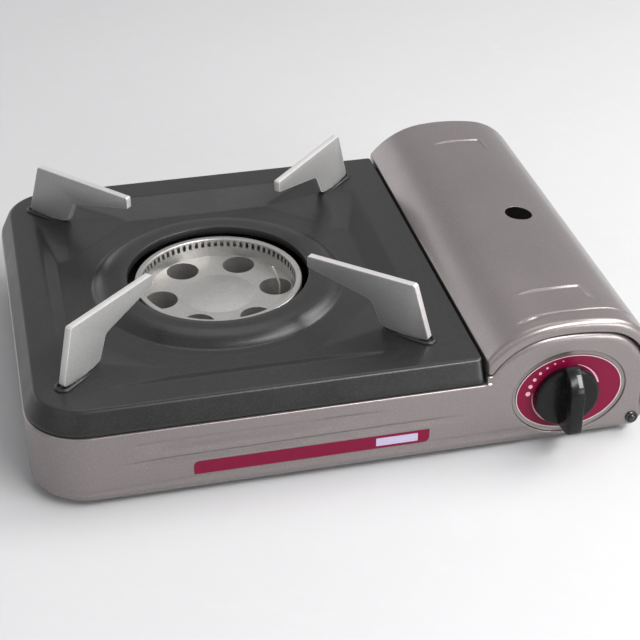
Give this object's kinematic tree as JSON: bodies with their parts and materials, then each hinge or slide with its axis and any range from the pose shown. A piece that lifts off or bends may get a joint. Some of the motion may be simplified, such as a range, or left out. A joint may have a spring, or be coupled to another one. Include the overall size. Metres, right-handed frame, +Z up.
{
  "type": "butane cassette stove",
  "caption": "Portable gas stove: a pressed case with a lift-off drip plate and pan supports, a round burner, and a canister bay under a hinged lid.",
  "frame": {"origin": "bottom centre of the whole object's box, on the surface that the rubber feet stand on", "axes": "+X from the burner to the canister bay, +Y from the knob's side to the back, +Z up"},
  "size_m": [0.34, 0.2732, 0.0915],
  "materials": {
    "body_paint": "satin metallic paint, a warm silver with a faint pink cast",
    "foot_rubber": "matt",
    "drip_plate_coat": "dark grey heat-resistant coat with a fine texture",
    "support_paint": "light grey enamel",
    "burner_alloy": "die-cast, satin",
    "zinc_sheet": "zinc-plated pressed sheet",
    "screw_steel": "zinc-plated",
    "brass": "turned",
    "ceramic": "glazed ceramic",
    "electrode_wire": "heat-tinted wire",
    "lead_rubber": "silicone sleeve",
    "conduction_aluminium": "plain sheet",
    "regulator_alloy": "die-cast, bead-blasted",
    "seal_rubber": "matt",
    "magnet": "bare ferrite",
    "igniter_plastic": "plain",
    "spring_steel": "drawn wire",
    "knob_plastic": "satin gloss",
    "dial_print": "printed film",
    "pin_black": "black oxide"
  },
  "bodies": {
    "base": {"case": "body_paint", "feet": "foot_rubber", "burner_bowl": "burner_alloy", "burner_cup": "burner_alloy", "burner_bracket": "zinc_sheet", "burner_screws": "screw_steel", "mixing_tube": "burner_alloy", "gas_nozzle": "brass", "electrode_bracket": "zinc_sheet", "electrode_insulator": "ceramic", "spark_electrode": "electrode_wire", "ignition_lead": "lead_rubber", "heat_shield": "zinc_sheet", "heat_conduction_plate": "conduction_aluminium", "regulator_cover": "zinc_sheet", "regulator_block": "regulator_alloy", "diaphragm_cap": "zinc_sheet", "diaphragm_screws": "screw_steel", "port_seal": "seal_rubber", "magnet_ring": "magnet", "canister_cradle": "zinc_sheet", "cradle_rivets": "screw_steel", "piezo_housing": "igniter_plastic", "dial_plate": "dial_print", "front_label": "dial_print", "hinge_pins": "pin_black", "hinge_brackets": "zinc_sheet", "shield_screws": "screw_steel"},
    "drip_plate": {"drip_plate": "drip_plate_coat", "pan_support_front_left": "support_paint", "pan_support_front_right": "support_paint", "pan_support_back_left": "support_paint", "pan_support_back_right": "support_paint"},
    "lid": {"lid": "body_paint"},
    "knob": {"knob": "knob_plastic", "valve_spindle": "brass", "igniter_cam": "igniter_plastic"},
    "igniter_plunger": {"piezo_plunger": "igniter_plastic", "plunger_spring": "spring_steel"},
    "ejector": {"canister_ejector": "zinc_sheet"}
  },
  "joints": [
    {"name": "drip_plate_lift", "type": "slide", "parent": "base", "child": "drip_plate", "axis": [0, 0, 1], "range_m": [0, 0.06]},
    {"name": "lid_hinge", "type": "hinge", "parent": "base", "child": "lid", "pos_m": [0.1575, 0.0088, 0.0109], "axis": [0, 1, 0], "range_deg": [0, 70]},
    {"name": "knob_turn", "type": "hinge", "parent": "base", "child": "knob", "pos_m": [0.1174, -0.1186, 0.0325], "axis": [0, -1, 0], "range_deg": [0, 95]},
    {"name": "igniter_push", "type": "slide", "parent": "base", "child": "igniter_plunger", "axis": [0, 0, 1], "range_m": [0, 0.0041], "deforming": ["plunger_spring"]},
    {"name": "ejector_push", "type": "slide", "parent": "base", "child": "ejector", "axis": [0, 1, 0], "range_m": [0, 0.004], "stiffness_N_per_m": 400, "springref_m": -0.002}
  ],
  "couplings": [
    {"joint": "igniter_push", "follows": "knob_turn", "m_per_rad": 0.0024125}
  ]
}
